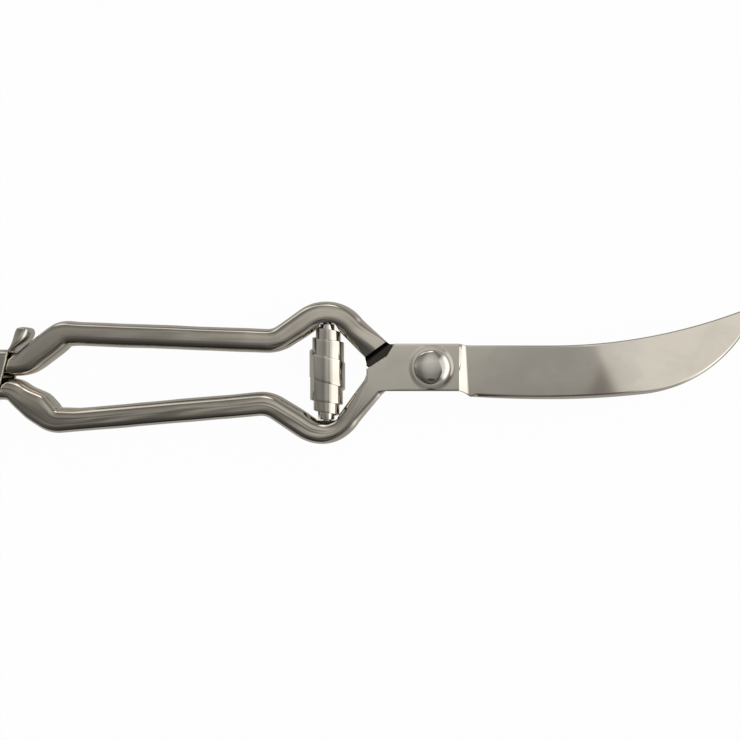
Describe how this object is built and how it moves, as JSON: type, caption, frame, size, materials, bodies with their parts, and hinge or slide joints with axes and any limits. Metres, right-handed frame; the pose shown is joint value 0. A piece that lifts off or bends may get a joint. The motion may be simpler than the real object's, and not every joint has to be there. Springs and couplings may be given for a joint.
{
  "type": "poultry shears",
  "caption": "Forged steel poultry shears with curved blades, looped handles, a pivot screw, a volute spring and a stirrup latch at the tails.",
  "frame": {"origin": "centre of the pivot nut's closed flat end, on the pivot axis", "axes": "+X towards the blade tip, +Y towards the upper handle, +Z along the pivot axis towards the screw head"},
  "size_m": [0.251, 0.0456, 0.0161],
  "materials": {
    "polished_steel": "polished",
    "bright_steel": "bright",
    "spring_steel": "satin",
    "latch_steel": "satin"
  },
  "bodies": {
    "front": {"front_half": "polished_steel", "pivot_screw": "bright_steel", "pivot_washer": "bright_steel", "pivot_nut": "bright_steel", "front_spring_peg": "bright_steel", "volute_spring": "spring_steel"},
    "back": {"back_half": "polished_steel", "back_spring_peg": "bright_steel", "latch_pin": "bright_steel"},
    "latch": {"latch": "latch_steel"}
  },
  "joints": [
    {"name": "pivot", "type": "hinge", "parent": "front", "child": "back", "pos_m": [0, 0, 0.0094], "axis": [0, 0, -1], "range_deg": [0, 30], "deforming": ["volute_spring"]},
    {"name": "latch_swing", "type": "hinge", "parent": "back", "child": "latch", "pos_m": [-0.1426, 0.0008, 0.0094], "axis": [0, 0, 1], "range_deg": [0, 95]}
  ]
}
